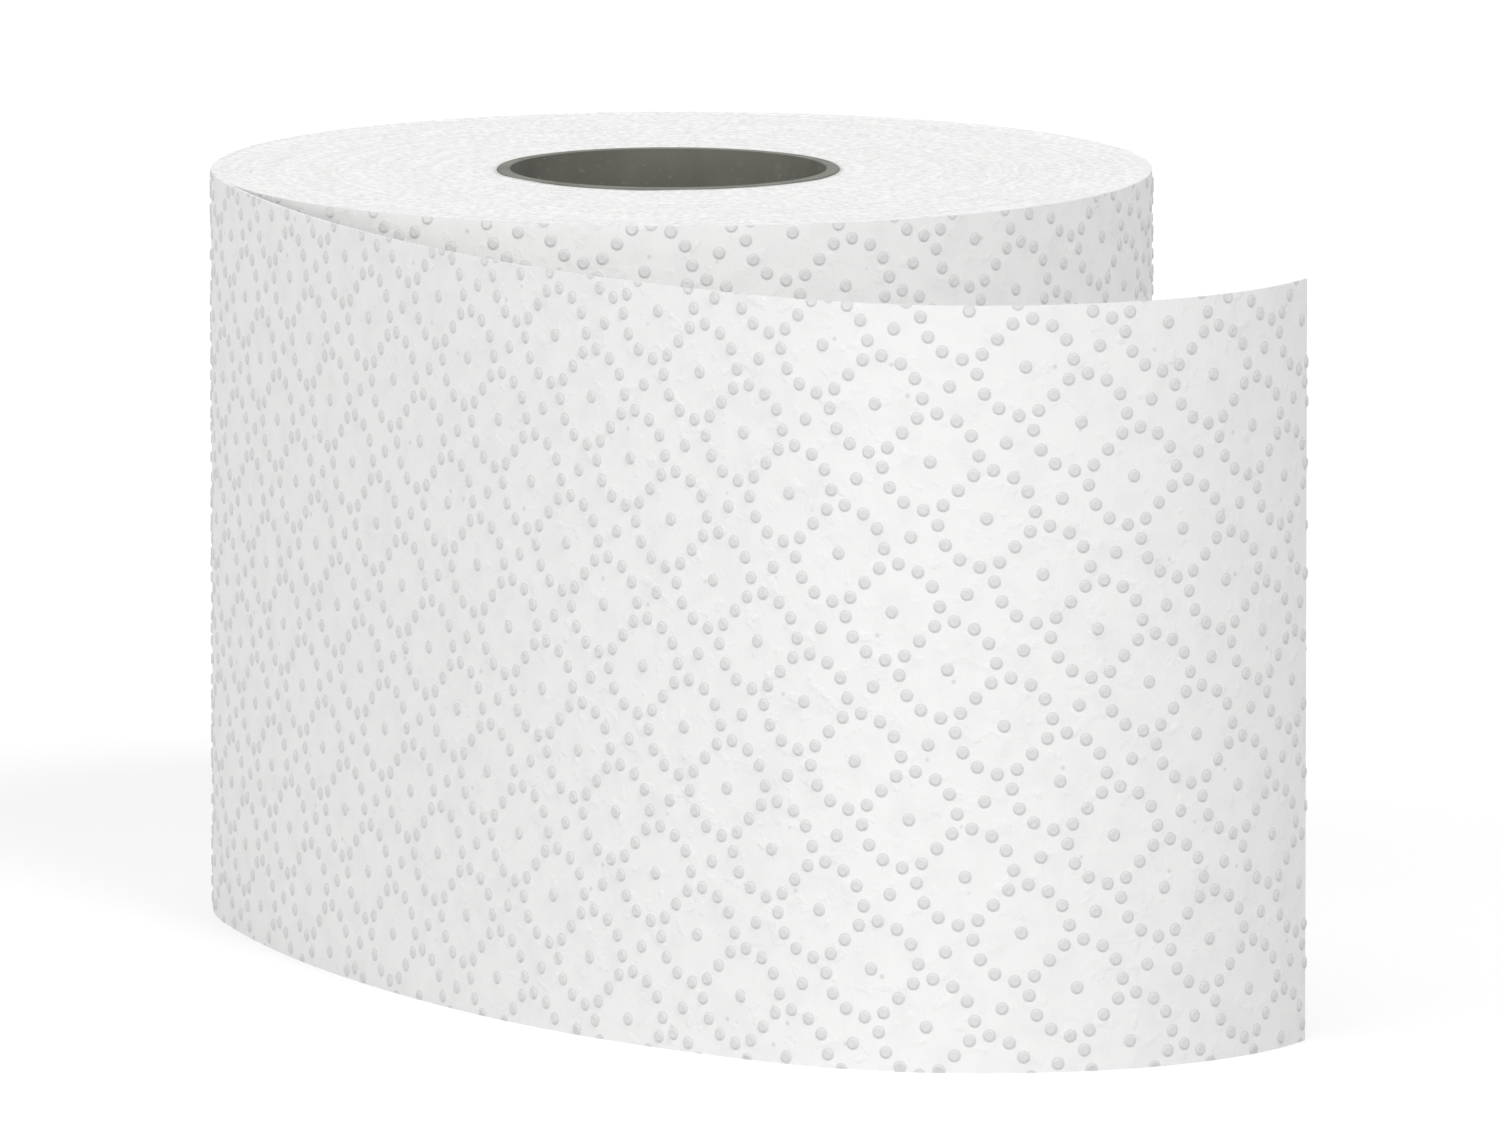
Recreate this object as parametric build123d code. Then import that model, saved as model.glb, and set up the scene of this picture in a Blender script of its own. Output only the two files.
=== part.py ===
from build123d import *
from math import cos, degrees, radians, sin
import os

# A roll of embossed toilet tissue standing on its end, in millimetres.
# The origin is on the core's axis at the lower end, with +Z up. The loose tail swings out
# towards -Y, where it is pulled from, and curls round to +X.

# Wound roll
sheet_width = 95.0
sheet_thickness = 0.4
roll_diameter = 120.0
core_shift = 1.8            # the soft roll sits this far off the core's axis, towards +X

# Card core
core_diameter = 43.5
core_wall = 1.6
winding_clearance = 0.05    # between the core and the first turn

# Loose tail: it leaves the roll at peel_angle, and bends more tightly towards its cut end
peel_angle = 193.5
peel_gap = 0.15             # width of the crack at the line where the tail lifts off
lift_radius = 250.0
lift_length = 82.0
swing_radius = 150.0
swing_length = 57.0
curl_radius = 43.0
curl_length = 78.0

# Lines that show between the turns on both ends
turn_lines = 6
turn_line_width = 0.5
turn_line_depth = 0.3

# Sizes that follow
roll_radius = roll_diameter / 2
core_radius = core_diameter / 2
first_turn_radius = core_radius + winding_clearance
last_turn_growth = sheet_thickness + peel_gap
last_turn_start = roll_radius - last_turn_growth
roll_centre = Vector(core_shift, 0)
tail_bends = (
    (lift_radius, lift_length),
    (swing_radius, swing_length),
    (curl_radius, curl_length),
)


def plan_direction(angle):
    """Unit vector in plan, at an angle from +X."""
    return Vector(cos(radians(angle)), sin(radians(angle)))


peel_outward = plan_direction(peel_angle)
peel_heading = plan_direction(peel_angle + 90)


def on_peel_line(radius):
    """Point in plan on the line where the tail lifts off."""
    return roll_centre + peel_outward * radius


def last_turn():
    """Outside of the wound roll: two half circles that grow by one sheet and the crack."""
    first_half = JernArc(
        on_peel_line(last_turn_start), peel_heading, last_turn_start + last_turn_growth / 4, 180)
    JernArc(first_half @ 1, first_half % 1, roll_radius - last_turn_growth / 4, 180)


def tail_face(root_radius):
    """One face of the tail, from its root on the roll to its cut end. Returns the end point."""
    point = on_peel_line(root_radius)
    heading = peel_heading
    inset = roll_radius - root_radius
    for bend_radius, bend_length in tail_bends:
        bend = JernArc(point, heading, bend_radius - inset, degrees(bend_length / bend_radius))
        point = bend @ 1
        heading = bend % 1
    return point


def turn_ring(share):
    """One line between turns, as a flat ring at a share of the way from core to outside."""
    radius = first_turn_radius + (last_turn_start - first_turn_radius) * share
    with Locations(roll_centre * share):
        Circle(radius + turn_line_width / 2)
        Circle(radius - turn_line_width / 2, mode=Mode.SUBTRACT)


def make_core():
    """Card tube, cut off level with the paper."""
    with BuildPart() as core:
        with BuildSketch():
            Circle(core_radius)
            Circle(core_radius - core_wall, mode=Mode.SUBTRACT)
        extrude(amount=sheet_width)
    return core.part


def make_paper():
    """The whole web as one solid: the wound turns and the tail that has come loose from them."""
    with BuildPart() as paper:
        with BuildSketch():
            with BuildLine():
                last_turn()
                outer_end = tail_face(roll_radius)
                inner_end = tail_face(roll_radius - sheet_thickness)
                Line(outer_end, inner_end)
                Line(on_peel_line(roll_radius - sheet_thickness), on_peel_line(last_turn_start))
            make_face()
            Circle(first_turn_radius, mode=Mode.SUBTRACT)
        extrude(amount=sheet_width)
        for line_floor in (0, sheet_width - turn_line_depth):
            with BuildSketch(Plane.XY.offset(line_floor)):
                for line in range(turn_lines, 0, -1):
                    turn_ring(line / (turn_lines + 1))
            extrude(amount=turn_line_depth, mode=Mode.SUBTRACT)
    return paper.part


os.makedirs("parts", exist_ok=True)
export_step(make_core(), "parts/core_tube.step")
export_step(make_paper(), "parts/paper_roll.step")
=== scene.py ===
from math import atan2, cos, hypot, radians, sin, tan, tau

import bmesh
import bpy
from mathutils import Matrix, Vector, noise


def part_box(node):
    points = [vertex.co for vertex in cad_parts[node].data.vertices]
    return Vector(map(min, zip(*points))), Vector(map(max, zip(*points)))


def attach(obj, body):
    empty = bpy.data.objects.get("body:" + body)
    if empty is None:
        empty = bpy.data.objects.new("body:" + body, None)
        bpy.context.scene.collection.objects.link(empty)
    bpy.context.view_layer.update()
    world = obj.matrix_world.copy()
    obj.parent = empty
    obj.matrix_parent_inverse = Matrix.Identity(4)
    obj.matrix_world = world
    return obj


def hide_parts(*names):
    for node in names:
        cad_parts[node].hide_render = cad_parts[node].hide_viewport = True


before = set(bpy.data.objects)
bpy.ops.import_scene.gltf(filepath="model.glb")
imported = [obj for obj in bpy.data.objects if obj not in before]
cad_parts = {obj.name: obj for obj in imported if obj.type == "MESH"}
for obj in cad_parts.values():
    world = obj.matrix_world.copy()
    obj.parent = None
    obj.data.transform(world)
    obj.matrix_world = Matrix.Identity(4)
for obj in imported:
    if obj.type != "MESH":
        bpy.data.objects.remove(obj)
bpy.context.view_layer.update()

MM = 0.001

# Wound roll and loose tail, in metres, as the solids have them
core_low, core_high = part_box("core_tube")
SHEET_WIDTH = core_high[2] - core_low[2]
SHEET_THICKNESS = 0.4 * MM
CORE_RADIUS = (core_high[0] - core_low[0]) / 2
CORE_WALL = 1.6 * MM
CORE_BORE_RADIUS = CORE_RADIUS - CORE_WALL
WINDING_CLEARANCE = 0.05 * MM
FIRST_TURN_RADIUS = CORE_RADIUS + WINDING_CLEARANCE
ROLL_RADIUS = 60 * MM
CORE_SHIFT = 1.8 * MM
ROLL_CENTRE = Vector((CORE_SHIFT, 0, 0))
LAST_TURN_GROWTH = SHEET_THICKNESS
LAST_TURN_START = ROLL_RADIUS - LAST_TURN_GROWTH
PEEL_ANGLE = radians(193.5)
TAIL_BENDS = ((250 * MM, 82 * MM), (150 * MM, 57 * MM), (43 * MM, 78 * MM))
TAIL_LENGTH = sum(length for radius, length in TAIL_BENDS)
WEB_TURN = tau * (ROLL_RADIUS - LAST_TURN_GROWTH / 2)

# The tail's sheet starts on the roll behind the peel line, tucked under the last turn
TUCK_LENGTH = 32 * MM
TUCK_DEPTH = 0.3 * MM
TUCK_RISE = 14 * MM

# Embossing: rings of raised dots in slanting chains, a whole number of them round the roll
RINGS_ROUND = 27
CHAINS_ROUND = 16
CHAIN_TILT = radians(45)
RING_PITCH = WEB_TURN * cos(CHAIN_TILT) / RINGS_ROUND
CHAIN_PITCH = WEB_TURN * sin(CHAIN_TILT) / CHAINS_ROUND
RING_TOUCH = ((0.5, 0), (0.5, 0.27), (0.5, -0.27))      # shares of RING_PITCH
RING_FLANK = ((0.37, 0.49), (0.127, 0.6))               # one quarter, shares of RING_PITCH
CELL_CORNER = (-0.75, -0.92)                            # shares of the two pitches, clear of all dots
DOT_RADIUS = 0.83 * MM
DOT_SKIRT = 0.06 * MM
DOT_WALL = 0.28 * MM
DOT_HEIGHT = 0.21 * MM
PAD_TINT = 0.76                                         # share of the foot's tint kept on the pad: the foot's tint is painted shade, the pad's the grey of compressed tissue
DOT_SIDES = 10
BACK_DOT_SIDES = 8
BORDER_CUTS = 3                                         # points along each side of a repeat
FLAT_EDGE = 0.7 * MM                                    # the relief fades out this near to a cut edge

# Ends of the roll: edges of the turns, some a little lower than others
END_RINGS = 40
END_STEPS = 108
END_RECESS = 0.3 * MM
RING_UNEVEN = 0.83                                      # noise steps from one ring to the next
ROUND_UNEVEN = 3                                        # noise steps along a ring, for each radian

MERGE = 1e-6


def smooth_step(value):
    """Ease from 0 to 1."""
    value = min(1, max(0, value))
    return value * value * (3 - 2 * value)


def cell_dots():
    """Dot centres of one repeat of the embossing, along and across the chain, in the cell's window."""
    dots = [(0, 0), (RING_PITCH / 2, CHAIN_PITCH / 2)]
    dots += [(RING_PITCH * along, RING_PITCH * across) for along, across in RING_TOUCH]
    for along, across in RING_FLANK:
        for side in (1, -1):
            dots += [(side * RING_PITCH * along, RING_PITCH * across),
                     (side * RING_PITCH * along, -RING_PITCH * across)]
    left = CELL_CORNER[0] * RING_PITCH
    bottom = CELL_CORNER[1] * CHAIN_PITCH
    return [((along - left) % RING_PITCH + left, (across - bottom) % CHAIN_PITCH + bottom)
            for along, across in dots]


def emboss_cell(sides, insets):
    """Flat mesh of one repeat: the ground, and each dot as a raised pad with a flat top.

    Each inset is the width, the rise and the tint of one ring of faces round every dot."""
    bm = bmesh.new()
    pressed_and_shaded = bm.verts.layers.float.new("pressed_and_shaded")
    foot_radius = DOT_RADIUS - DOT_WALL + sum(width for width, rise, tint in insets)
    for along, across in cell_dots():
        bmesh.ops.create_circle(
            bm, cap_ends=True, segments=sides, radius=foot_radius,
            matrix=Matrix.Translation((along, across, 0)))
    dots = bm.faces[:]
    centre = ((CELL_CORNER[0] + 0.5) * RING_PITCH, (CELL_CORNER[1] + 0.5) * CHAIN_PITCH, 0)
    border = bmesh.ops.create_grid(
        bm, x_segments=1, y_segments=1, size=0.5,
        matrix=Matrix.Translation(centre) @ Matrix.Diagonal((RING_PITCH, CHAIN_PITCH, 1, 1)))
    border_face = border["verts"][0].link_faces[0]
    border_edges = border_face.edges[:]
    bmesh.ops.delete(bm, geom=[border_face], context="FACES_ONLY")
    bmesh.ops.subdivide_edges(bm, edges=border_edges, cuts=BORDER_CUTS)
    open_edges = [edge for edge in bm.edges if len(edge.link_faces) < 2]
    bmesh.ops.triangle_fill(bm, edges=open_edges, use_beauty=True, normal=(0, 0, 1))
    for face in bm.faces:
        face.normal_update()
    bmesh.ops.reverse_faces(bm, faces=[face for face in bm.faces if face.normal.z < 0])
    # The tints grey each dot: fully at the foot of its wall, as painted shade, and less on the pad, as
    # compressed tissue.
    for width, rise, tint in insets:
        bmesh.ops.inset_individual(bm, faces=dots, thickness=width, depth=rise, use_even_offset=True)
        for face in dots:
            for vert in face.verts:
                vert[pressed_and_shaded] = tint
    for face in dots:
        for edge in face.edges:
            edge.smooth = False
    bmesh.ops.rotate(bm, verts=bm.verts[:], cent=(0, 0, 0), matrix=Matrix.Rotation(-CHAIN_TILT, 3, "Z"))
    mesh = bpy.data.meshes.new("emboss_cell")
    bm.to_mesh(mesh)
    bm.free()
    return mesh


def trim(bm, point, normal):
    """Cut a flat sheet along a straight line and drop what lies beyond it."""
    bmesh.ops.bisect_plane(
        bm, geom=bm.verts[:] + bm.edges[:] + bm.faces[:], dist=MERGE,
        plane_co=point, plane_no=normal, clear_outer=True)


def embossed_strip(cell, start, end):
    """Flat embossed sheet from start to end along the web (X), SHEET_WIDTH wide (Y)."""
    bm = bmesh.new()
    reach = hypot(RING_PITCH, CHAIN_PITCH)
    along_chain = Vector((cos(CHAIN_TILT), -sin(CHAIN_TILT), 0)) * RING_PITCH
    across_chain = Vector((sin(CHAIN_TILT), cos(CHAIN_TILT), 0)) * CHAIN_PITCH
    span = int((end - start + SHEET_WIDTH) / RING_PITCH) + 2
    for ring in range(-span, span):
        for chain in range(-span, span):
            place = along_chain * ring + across_chain * chain
            if start - reach < place.x < end + reach and -reach < place.y < SHEET_WIDTH + reach:
                cell.transform(Matrix.Translation(place))
                bm.from_mesh(cell)
                cell.transform(Matrix.Translation(-place))
    bmesh.ops.remove_doubles(bm, verts=bm.verts[:], dist=MERGE)
    trim(bm, (start, 0, 0), (-1, 0, 0))
    trim(bm, (end, 0, 0), (1, 0, 0))
    trim(bm, (0, 0, 0), (0, -1, 0))
    trim(bm, (0, SHEET_WIDTH, 0), (0, 1, 0))
    for vert in bm.verts:
        vert.co.z *= smooth_step(min(vert.co.y, SHEET_WIDTH - vert.co.y) / FLAT_EDGE)
    web_map = bm.loops.layers.uv.new("web")
    for face in bm.faces:
        for loop in face.loops:
            loop[web_map].uv = loop.vert.co.xy / SHEET_WIDTH
    return bm


def plan(angle):
    """Unit vector in plan, at an angle from +X."""
    return Vector((cos(angle), sin(angle), 0))


def on_roll(along, height, proud):
    """Place a point of the flat web on the wound roll. The last turn dips under the tail's start."""
    turn = along / WEB_TURN
    dip = LAST_TURN_GROWTH * turn * smooth_step((along - WEB_TURN + TUCK_LENGTH) / TUCK_RISE)
    radius = LAST_TURN_START + LAST_TURN_GROWTH * turn - dip + proud
    return ROLL_CENTRE + plan(PEEL_ANGLE + tau * turn) * radius + Vector((0, 0, height))


def on_tail(along, height, proud):
    """Place a point of the flat web on the tail's outer face, or on the roll before the peel line."""
    if along <= 0:
        turn = along / WEB_TURN
        tuck = TUCK_DEPTH * (1 - smooth_step((along + TUCK_LENGTH) / TUCK_RISE))
        radius = ROLL_RADIUS + LAST_TURN_GROWTH * turn - tuck + proud
        return ROLL_CENTRE + plan(PEEL_ANGLE + tau * turn) * radius + Vector((0, 0, height))
    outward = PEEL_ANGLE
    point = ROLL_CENTRE + plan(outward) * ROLL_RADIUS
    for radius, length in TAIL_BENDS:
        step = min(along, length)
        bend_centre = point - plan(outward) * radius
        outward += step / radius
        point = bend_centre + plan(outward) * radius
        along -= step
        if along <= 0:
            break
    return point + plan(outward) * proud + Vector((0, 0, height))


def bend(bm, place):
    """Move every point of a flat sheet to its place on the object."""
    for vert in bm.verts:
        vert.co = place(*vert.co)


def add_turn_ends(bm):
    """Both ends of the wound roll and its bore, spun about the core's axis and left open at the skin."""
    ring_gap = (LAST_TURN_START - FIRST_TURN_RADIUS) / END_RINGS
    radii = [FIRST_TURN_RADIUS + ring_gap * ring for ring in range(END_RINGS)]
    profile = [(radius, SHEET_WIDTH) for radius in reversed(radii)]
    profile += [(radius, 0) for radius in radii]
    verts = [bm.verts.new((radius, 0, height)) for radius, height in profile]
    edges = [bm.edges.new(pair) for pair in zip(verts, verts[1:])]
    old = set(bm.verts) - set(verts)
    bmesh.ops.spin(
        bm, geom=verts + edges, cent=(0, 0, 0), axis=(0, 0, 1),
        steps=END_STEPS, angle=tau, use_merge=True)
    for vert in bm.verts:
        if vert in old:
            continue
        radius = hypot(vert.co.x, vert.co.y)
        angle = atan2(vert.co.y, vert.co.x)
        ring = (radius - FIRST_TURN_RADIUS) / ring_gap
        rough = noise.noise(Vector((
            ring * RING_UNEVEN,
            ROUND_UNEVEN * cos(angle),
            ROUND_UNEVEN * sin(angle) + vert.co.z / SHEET_WIDTH)))
        recess = END_RECESS * (0.5 + 0.5 * rough)
        vert.co.z += recess if vert.co.z < SHEET_WIDTH / 2 else -recess
        vert.co += ROLL_CENTRE * ring / END_RINGS


def close_rim(bm, height):
    """Join the skin's edge to the outermost turn of the end at this height."""
    near = SHEET_WIDTH / 4
    rim = [edge for edge in bm.edges
           if edge.is_boundary and all(abs(vert.co.z - height) < near for vert in edge.verts)]
    bmesh.ops.bridge_loops(bm, edges=rim)


def paper_piece(bm, name, materials, crisp):
    """Piece that stands for the paper's solid: smooth, but sharp round the pads and the crisp faces."""
    bmesh.ops.recalc_face_normals(bm, faces=bm.faces[:])
    if bm.calc_volume(signed=True) < 0:
        bmesh.ops.reverse_faces(bm, faces=bm.faces[:])
    for face in bm.faces:
        face.smooth = True
    for edge in bm.edges:
        if len({face in crisp for face in edge.link_faces}) > 1:
            edge.smooth = False
    mesh = bpy.data.meshes.new(name)
    bm.to_mesh(mesh)
    bm.free()
    for material in materials:
        mesh.materials.append(material)
    piece = bpy.data.objects.new(name, mesh)
    bpy.context.scene.collection.objects.link(piece)
    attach(piece, "root")
    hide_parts("paper_roll")
    return piece


def wound_turns(cell, tissue, turn_edges):
    """The wound roll: embossed skin all round, the edges of the turns on both ends, and the bore."""
    bm = embossed_strip(cell, 0, WEB_TURN)
    bend(bm, on_roll)
    bmesh.ops.remove_doubles(bm, verts=bm.verts[:], dist=MERGE)
    skin = set(bm.faces)
    add_turn_ends(bm)
    close_rim(bm, 0)
    close_rim(bm, SHEET_WIDTH)
    for face in bm.faces:
        face.material_index = 0 if face in skin else 1
    return paper_piece(bm, "wound_turns", (tissue, turn_edges), skin)


def close_cut_edges(bm, sides):
    """Close a flat sheet between its two faces, along each straight side. Returns the new faces."""
    open_edges = [edge for edge in bm.edges if edge.is_boundary]
    closed = set()
    for axis, place in sides:
        row = [edge for edge in open_edges
               if all(abs(vert.co[axis] - place) < MERGE for vert in edge.verts)]
        closed.update(bmesh.ops.bridge_loops(bm, edges=row)["faces"])
    return closed


def loose_tail(cell, back_cell, tissue):
    """The tail: one embossed sheet with its true thickness, tucked under the last turn."""
    bm = embossed_strip(back_cell, -TUCK_LENGTH, TAIL_LENGTH)
    bmesh.ops.translate(bm, verts=bm.verts[:], vec=(0, 0, -SHEET_THICKNESS))
    bmesh.ops.reverse_faces(bm, faces=bm.faces[:])
    back = bpy.data.meshes.new("tail_back")
    bm.to_mesh(back)
    bm.free()
    bm = embossed_strip(cell, -TUCK_LENGTH, TAIL_LENGTH)
    bm.from_mesh(back)
    bpy.data.meshes.remove(back)
    cut_edges = close_cut_edges(bm, ((0, -TUCK_LENGTH), (0, TAIL_LENGTH), (1, 0), (1, SHEET_WIDTH)))
    bend(bm, on_tail)
    piece = paper_piece(bm, "loose_tail", (tissue,), cut_edges)
    return piece


FAINT_GLOSS = 0.2


def new_material(name, colour, roughness):
    """Material with a plain surface. Returns it with its nodes, links and shader."""
    material = bpy.data.materials.new(name)
    material.use_nodes = True
    nodes = material.node_tree.nodes
    shader = nodes["Principled BSDF"]
    shader.inputs["Base Color"].default_value = (*colour, 1)
    shader.inputs["Roughness"].default_value = roughness
    shader.inputs["Specular IOR Level"].default_value = FAINT_GLOSS
    return material, nodes, material.node_tree.links, shader


def noise_node(nodes, links, coordinates, scale, detail):
    """Noise on the given coordinates."""
    texture = nodes.new("ShaderNodeTexNoise")
    texture.inputs["Scale"].default_value = scale
    texture.inputs["Detail"].default_value = detail
    links.new(coordinates, texture.inputs["Vector"])
    return texture.outputs["Fac"]


def spread(nodes, links, value, low, high, out_low, out_high):
    """Clamped change of range."""
    change = nodes.new("ShaderNodeMapRange")
    change.inputs["From Min"].default_value = low
    change.inputs["From Max"].default_value = high
    change.inputs["To Min"].default_value = out_low
    change.inputs["To Max"].default_value = out_high
    links.new(value, change.inputs["Value"])
    return change.outputs["Result"]


def mix_in(nodes, links, colour, amount, shade):
    """Mix a colour towards a shade by an amount."""
    mix = nodes.new("ShaderNodeMix")
    mix.data_type = "RGBA"
    links.new(amount, mix.inputs["Factor"])
    if isinstance(colour, tuple):
        mix.inputs["A"].default_value = (*colour, 1)
    else:
        links.new(colour, mix.inputs["A"])
    mix.inputs["B"].default_value = (*shade, 1)
    return mix.outputs["Result"]


def calculate(nodes, links, operation, first, second):
    """One step of arithmetic on two values."""
    result = nodes.new("ShaderNodeMath")
    result.operation = operation
    links.new(first, result.inputs[0])
    links.new(second, result.inputs[1])
    return result.outputs["Value"]


def add(nodes, links, first, second):
    """Sum of two values."""
    return calculate(nodes, links, "ADD", first, second)


def multiply(nodes, links, first, second):
    """Product of two values."""
    return calculate(nodes, links, "MULTIPLY", first, second)


def bump(nodes, links, height, distance, strength, below=None):
    """Bump from a height, on top of another bump if one is given."""
    node = nodes.new("ShaderNodeBump")
    node.inputs["Distance"].default_value = distance
    node.inputs["Strength"].default_value = strength
    links.new(height, node.inputs["Height"])
    if below is not None:
        links.new(below, node.inputs["Normal"])
    return node.outputs["Normal"]


# Finishes. A noise is its steps per metre and its detail. A spread is the noise where a change starts and
# ends, and its amount at both. A bump is its height and its strength.
PAPER_ROUGHNESS = 0.95
SPECK_GREY = (0.64, 0.64, 0.635)

TISSUE_WHITE = (0.875, 0.875, 0.87)
# Grey at the dots' feet, painted shade; the pads take PAD_TINT of it as compressed tissue
TISSUE_PRESSED_AND_SHADED = (0.675, 0.675, 0.672)
TISSUE_SHADE = (0.80, 0.80, 0.797)
TISSUE_SHEEN = 0.08
SHEEN_ROUGHNESS = 0.6
CREPE_STRETCH = (1, 0.22, 1)
CREPE_NOISE = (210, 3)          # steps per sheet width
CREPE_BUMP = (0.08 * MM, 0.6)
FIBRE_NOISE = (900, 4)
FIBRE_BUMP = (0.04 * MM, 0.4)
CLOUD_NOISE = (260, 5)
CLOUD_SPREAD = (0.45, 0.75, 0, 0.6)
CRINKLE_NOISE = (420, 4)
CRINKLE_SPREAD = (0.56, 0.74, 0, 1)
CRINKLE_BUMP = (0.12 * MM, 0.7)
SPECKS_PER_METRE = 220
SPECK_SPREAD = (0.04, 0.085, 0.7, 0)


def make_tissue():
    """Soft white tissue: creping across the web, small crinkles, cloudy fibres, specks, and dots greyed
    by compressed tissue on the pads and by painted shade round their feet.
    """
    material, nodes, links, shader = new_material("embossed_tissue", TISSUE_WHITE, PAPER_ROUGHNESS)
    shader.inputs["Sheen Weight"].default_value = TISSUE_SHEEN
    shader.inputs["Sheen Roughness"].default_value = SHEEN_ROUGHNESS
    web = nodes.new("ShaderNodeUVMap")
    web.uv_map = "web"
    place = nodes.new("ShaderNodeTexCoord").outputs["Object"]
    crepe_place = nodes.new("ShaderNodeMapping")
    crepe_place.inputs["Scale"].default_value = CREPE_STRETCH
    links.new(web.outputs["UV"], crepe_place.inputs["Vector"])
    crepe = noise_node(nodes, links, crepe_place.outputs["Vector"], *CREPE_NOISE)
    fibre = noise_node(nodes, links, place, *FIBRE_NOISE)
    cloud = spread(nodes, links, noise_node(nodes, links, place, *CLOUD_NOISE), *CLOUD_SPREAD)
    crinkle = spread(nodes, links, noise_node(nodes, links, place, *CRINKLE_NOISE), *CRINKLE_SPREAD)
    speck_cells = nodes.new("ShaderNodeTexVoronoi")
    speck_cells.inputs["Scale"].default_value = SPECKS_PER_METRE
    links.new(place, speck_cells.inputs["Vector"])
    speck = spread(nodes, links, speck_cells.outputs["Distance"], *SPECK_SPREAD)
    # Dots: painted shade round each dot's foot, and a lighter grey on the pad for compressed tissue
    pressed_and_shaded = nodes.new("ShaderNodeAttribute")
    pressed_and_shaded.attribute_name = "pressed_and_shaded"
    colour = mix_in(nodes, links, TISSUE_WHITE, cloud, TISSUE_SHADE)
    colour = mix_in(nodes, links, colour, speck, SPECK_GREY)
    colour = mix_in(nodes, links, colour, pressed_and_shaded.outputs["Fac"], TISSUE_PRESSED_AND_SHADED)
    links.new(colour, shader.inputs["Base Color"])
    soft = bump(nodes, links, crepe, *CREPE_BUMP)
    soft = bump(nodes, links, crinkle, *CRINKLE_BUMP, soft)
    links.new(bump(nodes, links, fibre, *FIBRE_BUMP, soft), shader.inputs["Normal"])
    return material


def plan_radius(nodes, links, place):
    """Distance from the core's axis."""
    flat_place = nodes.new("ShaderNodeVectorMath")
    flat_place.operation = "MULTIPLY"
    flat_place.inputs[1].default_value = (1, 1, 0)
    links.new(place, flat_place.inputs[0])
    length = nodes.new("ShaderNodeVectorMath")
    length.operation = "LENGTH"
    links.new(flat_place.outputs["Vector"], length.inputs[0])
    return length.outputs["Value"]


EDGE_WHITE = (0.97, 0.97, 0.965)
EDGE_SHADE = (0.76, 0.76, 0.757)
RING_DRIFT = (0.05, 0.05, 0)
RING_NOISE = (800, 3)
RING_SPREAD = (0.42, 0.62, 0, 0.35)
RING_BUMP = (0.3 * MM, 0.25)
GRAIN_NOISE = (1000, 3)
GRAIN_SPREAD = (0.4, 0.64, 0, 0.75)
GRAIN_BUMP = (0.2 * MM, 0.6)
DUST_NOISE = (2600, 1)
DUST_SPREAD = (0.6, 0.72, 0, 1)
CLUSTER_NOISE = (150, 3)
CLUSTER_SPREAD = (0.42, 0.6, 0, 1)


def make_turn_edges():
    """Cut edges of the turns: faint uneven rings and a crinkled grain with clusters of grey specks."""
    material, nodes, links, shader = new_material("tissue_edges", EDGE_WHITE, PAPER_ROUGHNESS)
    place = nodes.new("ShaderNodeTexCoord").outputs["Object"]
    ring_drift = nodes.new("ShaderNodeMapping")
    ring_drift.inputs["Scale"].default_value = RING_DRIFT
    links.new(place, ring_drift.inputs["Vector"])
    ring_place = nodes.new("ShaderNodeVectorMath")
    ring_place.operation = "ADD"
    links.new(ring_drift.outputs["Vector"], ring_place.inputs[0])
    links.new(plan_radius(nodes, links, place), ring_place.inputs[1])
    rings = noise_node(nodes, links, ring_place.outputs["Vector"], *RING_NOISE)
    grain = noise_node(nodes, links, place, *GRAIN_NOISE)
    dust = spread(nodes, links, noise_node(nodes, links, place, *DUST_NOISE), *DUST_SPREAD)
    cluster = spread(nodes, links, noise_node(nodes, links, place, *CLUSTER_NOISE), *CLUSTER_SPREAD)
    ring_shade = spread(nodes, links, rings, *RING_SPREAD)
    grain_shade = spread(nodes, links, grain, *GRAIN_SPREAD)
    colour = mix_in(nodes, links, EDGE_WHITE, ring_shade, EDGE_SHADE)
    colour = mix_in(nodes, links, colour, grain_shade, EDGE_SHADE)
    colour = mix_in(nodes, links, colour, multiply(nodes, links, dust, cluster), SPECK_GREY)
    links.new(colour, shader.inputs["Base Color"])
    rough = bump(nodes, links, rings, *RING_BUMP)
    links.new(bump(nodes, links, grain, *GRAIN_BUMP, rough), shader.inputs["Normal"])
    return material


CARD_GREY = (0.245, 0.25, 0.222)
# Darker grey on the bore's face, painted shade
CARD_BORE_SHADE = (0.185, 0.182, 0.156)
CARD_DARK = (0.13, 0.13, 0.112)
CARD_PALE = (0.33, 0.33, 0.3)
CARD_ROUGHNESS = 0.85
BORE_SHADE_FADE = 0.3 * MM
PULP_NOISE = (160, 4)
PULP_SPREAD = (0.4, 0.7, 0, 0.5)
FLECK_NOISE = (1100, 2)
FLECK_SPREAD = (0.62, 0.74, 0, 0.35)
FLECK_BUMP = (0.05 * MM, 0.5)


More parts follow.
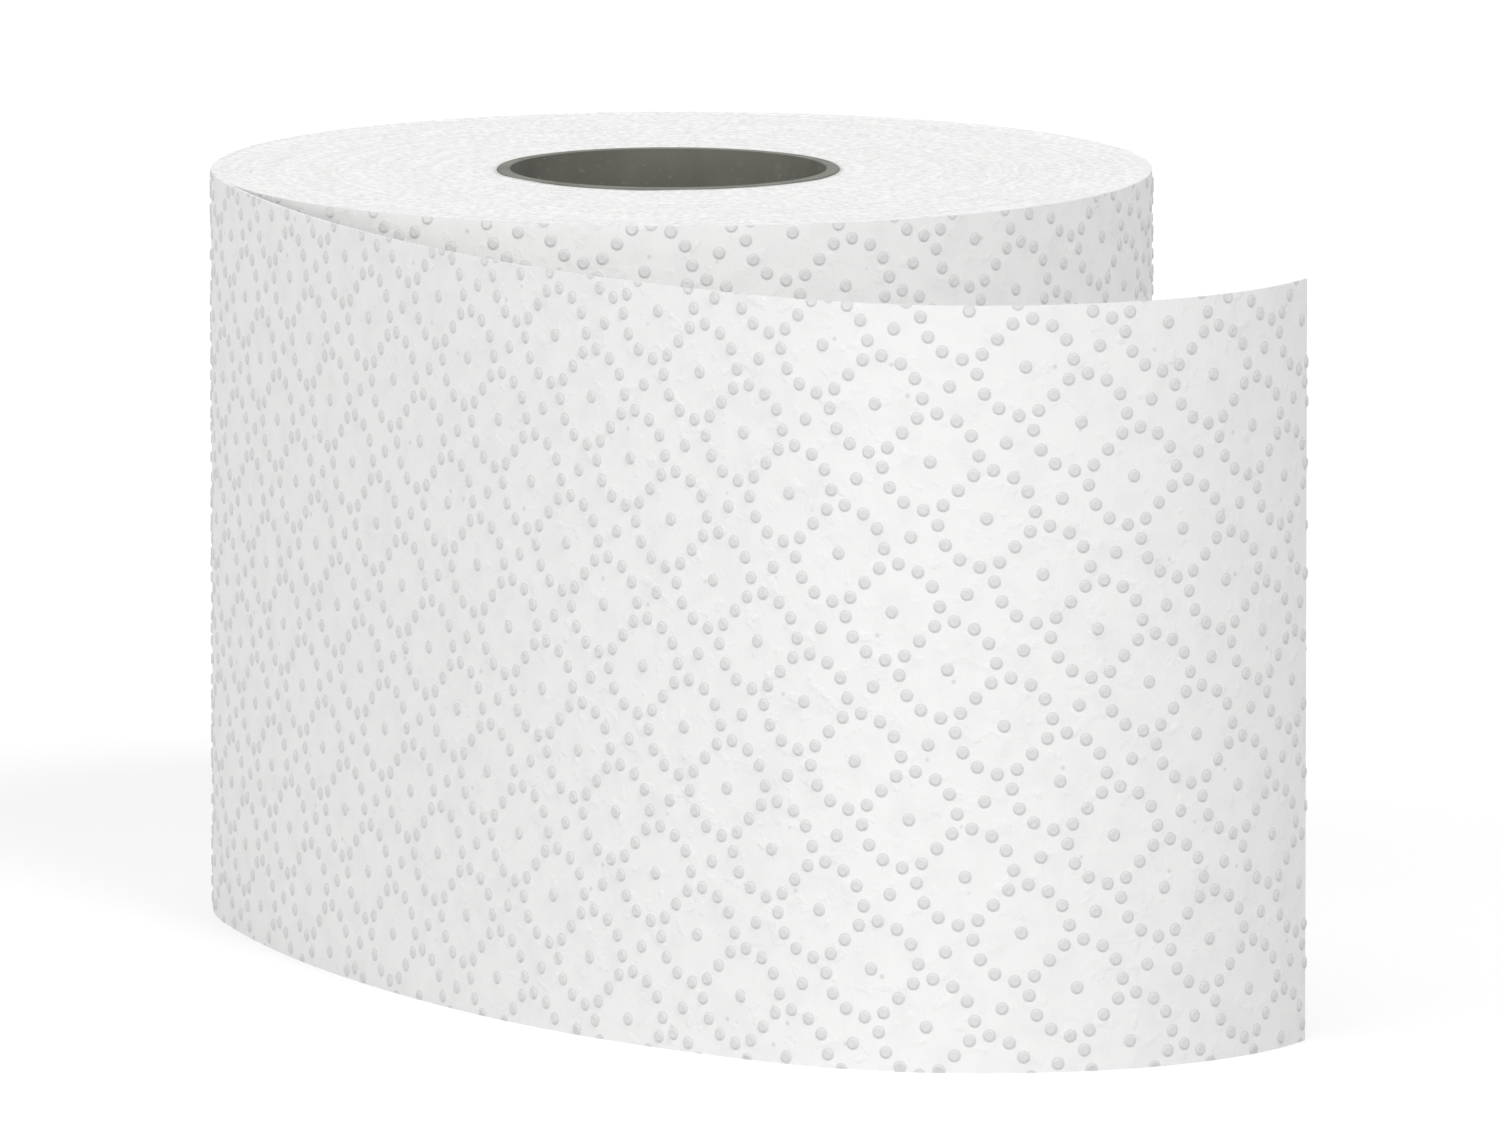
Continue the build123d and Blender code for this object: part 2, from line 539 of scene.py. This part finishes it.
def make_card():
    """Recycled grey board, with painted shade darkening the inside of the tube: pulp clouds, pale flecks,
    compressed fibres.
    """
    material, nodes, links, shader = new_material("grey_board", CARD_GREY, CARD_ROUGHNESS)
    place = nodes.new("ShaderNodeTexCoord").outputs["Object"]
    pulp = spread(nodes, links, noise_node(nodes, links, place, *PULP_NOISE), *PULP_SPREAD)
    fibre = noise_node(nodes, links, place, *FLECK_NOISE)
    fleck = spread(nodes, links, fibre, *FLECK_SPREAD)
    radius = plan_radius(nodes, links, place)
    # Painted shade: the board turns darker across the bore's inner face
    bore_shade = spread(nodes, links, radius, CORE_BORE_RADIUS, CORE_BORE_RADIUS + BORE_SHADE_FADE, 1, 0)
    colour = mix_in(nodes, links, CARD_GREY, bore_shade, CARD_BORE_SHADE)
    colour = mix_in(nodes, links, colour, pulp, CARD_DARK)
    colour = mix_in(nodes, links, colour, fleck, CARD_PALE)
    links.new(colour, shader.inputs["Base Color"])
    links.new(bump(nodes, links, fibre, *FLECK_BUMP), shader.inputs["Normal"])
    return material


# Stage and light
FLOOR_SIZE = 14.0
FLOOR_PALE = (0.55, 0.55, 0.55)
FLOOR_LIFT = 0.48


def make_floor():
    """Large pale floor. It is seen lifted to white, and it keeps its shadows."""
    bm = bmesh.new()
    bmesh.ops.create_grid(bm, x_segments=1, y_segments=1, size=FLOOR_SIZE / 2)
    mesh = bpy.data.meshes.new("pale_floor")
    bm.to_mesh(mesh)
    bm.free()
    floor = bpy.data.objects.new("pale_floor", mesh)
    bpy.context.scene.collection.objects.link(floor)
    material, nodes, links, shader = new_material("pale_floor", FLOOR_PALE, 1)
    rays = nodes.new("ShaderNodeLightPath")
    seen = add(nodes, links, rays.outputs["Is Camera Ray"], rays.outputs["Is Glossy Ray"])
    seen = add(nodes, links, seen, rays.outputs["Is Transmission Ray"])
    shader.inputs["Emission Color"].default_value = (1, 1, 1, 1)
    links.new(spread(nodes, links, seen, 0, 1, 0, FLOOR_LIFT), shader.inputs["Emission Strength"])
    mesh.materials.append(material)


TENT_LEFT = 0.2
TENT_RIGHT = 0.5
TENT_TOP = 0.43
WINDOW_SIDE = radians(-46)
WINDOW_GLOW = 1.8
BACK_SIDE = radians(180)
BACK_GLOW = 1.1


def bright_side(nodes, links, direction, side, strength):
    """Glow that is strongest at one heading, turned from the front, and fades to both sides."""
    facing = nodes.new("ShaderNodeVectorMath")
    facing.operation = "DOT_PRODUCT"
    facing.inputs[1].default_value = (sin(side), -cos(side), 0)
    links.new(direction, facing.inputs[0])
    near = spread(nodes, links, facing.outputs["Value"], 0, 1, 0, 1)
    return spread(nodes, links, multiply(nodes, links, near, near), 0, 1, 0, strength)


def make_world():
    """Surroundings like a light tent: dim all round, with broad bright sides at left front and behind."""
    world = bpy.data.worlds.new("studio")
    world.use_nodes = True
    nodes = world.node_tree.nodes
    links = world.node_tree.links
    direction = nodes.new("ShaderNodeTexCoord").outputs["Generated"]
    toward = nodes.new("ShaderNodeSeparateXYZ")
    links.new(direction, toward.inputs["Vector"])
    overhead = multiply(nodes, links, toward.outputs["Z"], toward.outputs["Z"])
    wall = spread(nodes, links, toward.outputs["X"], -1, 1, TENT_LEFT, TENT_RIGHT)
    walls = multiply(nodes, links, wall, spread(nodes, links, overhead, 0, 1, 1, 0))
    glow = add(nodes, links, walls, spread(nodes, links, overhead, 0, 1, 0, TENT_TOP))
    glow = add(nodes, links, glow, bright_side(nodes, links, direction, WINDOW_SIDE, WINDOW_GLOW))
    glow = add(nodes, links, glow, bright_side(nodes, links, direction, BACK_SIDE, BACK_GLOW))
    nodes["Background"].inputs["Color"].default_value = (1, 1, 1, 1)
    links.new(glow, nodes["Background"].inputs["Strength"])
    bpy.context.scene.world = world


def aim(thing, place, target):
    """Put a camera or lamp at a place, looking at a target."""
    thing.location = place
    thing.rotation_euler = (Vector(target) - Vector(place)).to_track_quat("-Z", "Y").to_euler()
    bpy.context.scene.collection.objects.link(thing)


KEY_AWAY = 3.0
KEY_RISE = radians(42)
KEY_SIDE = radians(30)
KEY_SPREAD = radians(20)
KEY_POWER = 1.18


def make_key():
    """One broad soft lamp, high in front on the right. It lights the floor evenly."""
    lamp = bpy.data.lights.new("key", "SUN")
    lamp.angle = KEY_SPREAD
    lamp.energy = KEY_POWER
    toward = Vector((sin(KEY_SIDE) * cos(KEY_RISE), -cos(KEY_SIDE) * cos(KEY_RISE), sin(KEY_RISE)))
    aim(bpy.data.objects.new("key", lamp), toward * KEY_AWAY, (0, 0, 0))


# Camera: far off with a long lens, a little above the roll's top
CAMERA_AWAY = 3.5
CAMERA_RISE = radians(7)
CAMERA_SIDE = 10.4 * MM
AIM_HEIGHT = 44.3 * MM
FRAME_SPAN = 191.3 * MM
SENSOR_WIDTH = 36


def make_camera():
    """Camera at the photograph's angle, with no shift and everything sharp."""
    place = Vector((CAMERA_SIDE, -CAMERA_AWAY, SHEET_WIDTH + CAMERA_AWAY * tan(CAMERA_RISE)))
    target = Vector((CAMERA_SIDE, 0, AIM_HEIGHT))
    data = bpy.data.cameras.new("photo_view")
    data.sensor_width = SENSOR_WIDTH
    data.lens = SENSOR_WIDTH * (target - place).length / FRAME_SPAN
    camera = bpy.data.objects.new("photo_view", data)
    aim(camera, place, target)
    bpy.context.scene.camera = camera


pad_inset = (DOT_WALL, DOT_HEIGHT, PAD_TINT)
# The skirt's tint of 1 puts the darkest painted shade at each dot's foot
cell = emboss_cell(DOT_SIDES, ((DOT_SKIRT, 0, 1), pad_inset))
back_cell = emboss_cell(BACK_DOT_SIDES, (pad_inset,))
tissue = make_tissue()
wound_turns(cell, tissue, make_turn_edges())
loose_tail(cell, back_cell, tissue)
bpy.data.meshes.remove(cell)
bpy.data.meshes.remove(back_cell)

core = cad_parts["core_tube"]
core.data.materials.clear()
core.data.materials.append(make_card())

make_floor()
make_world()
make_key()
make_camera()
bpy.context.scene.view_settings.view_transform = "Standard"
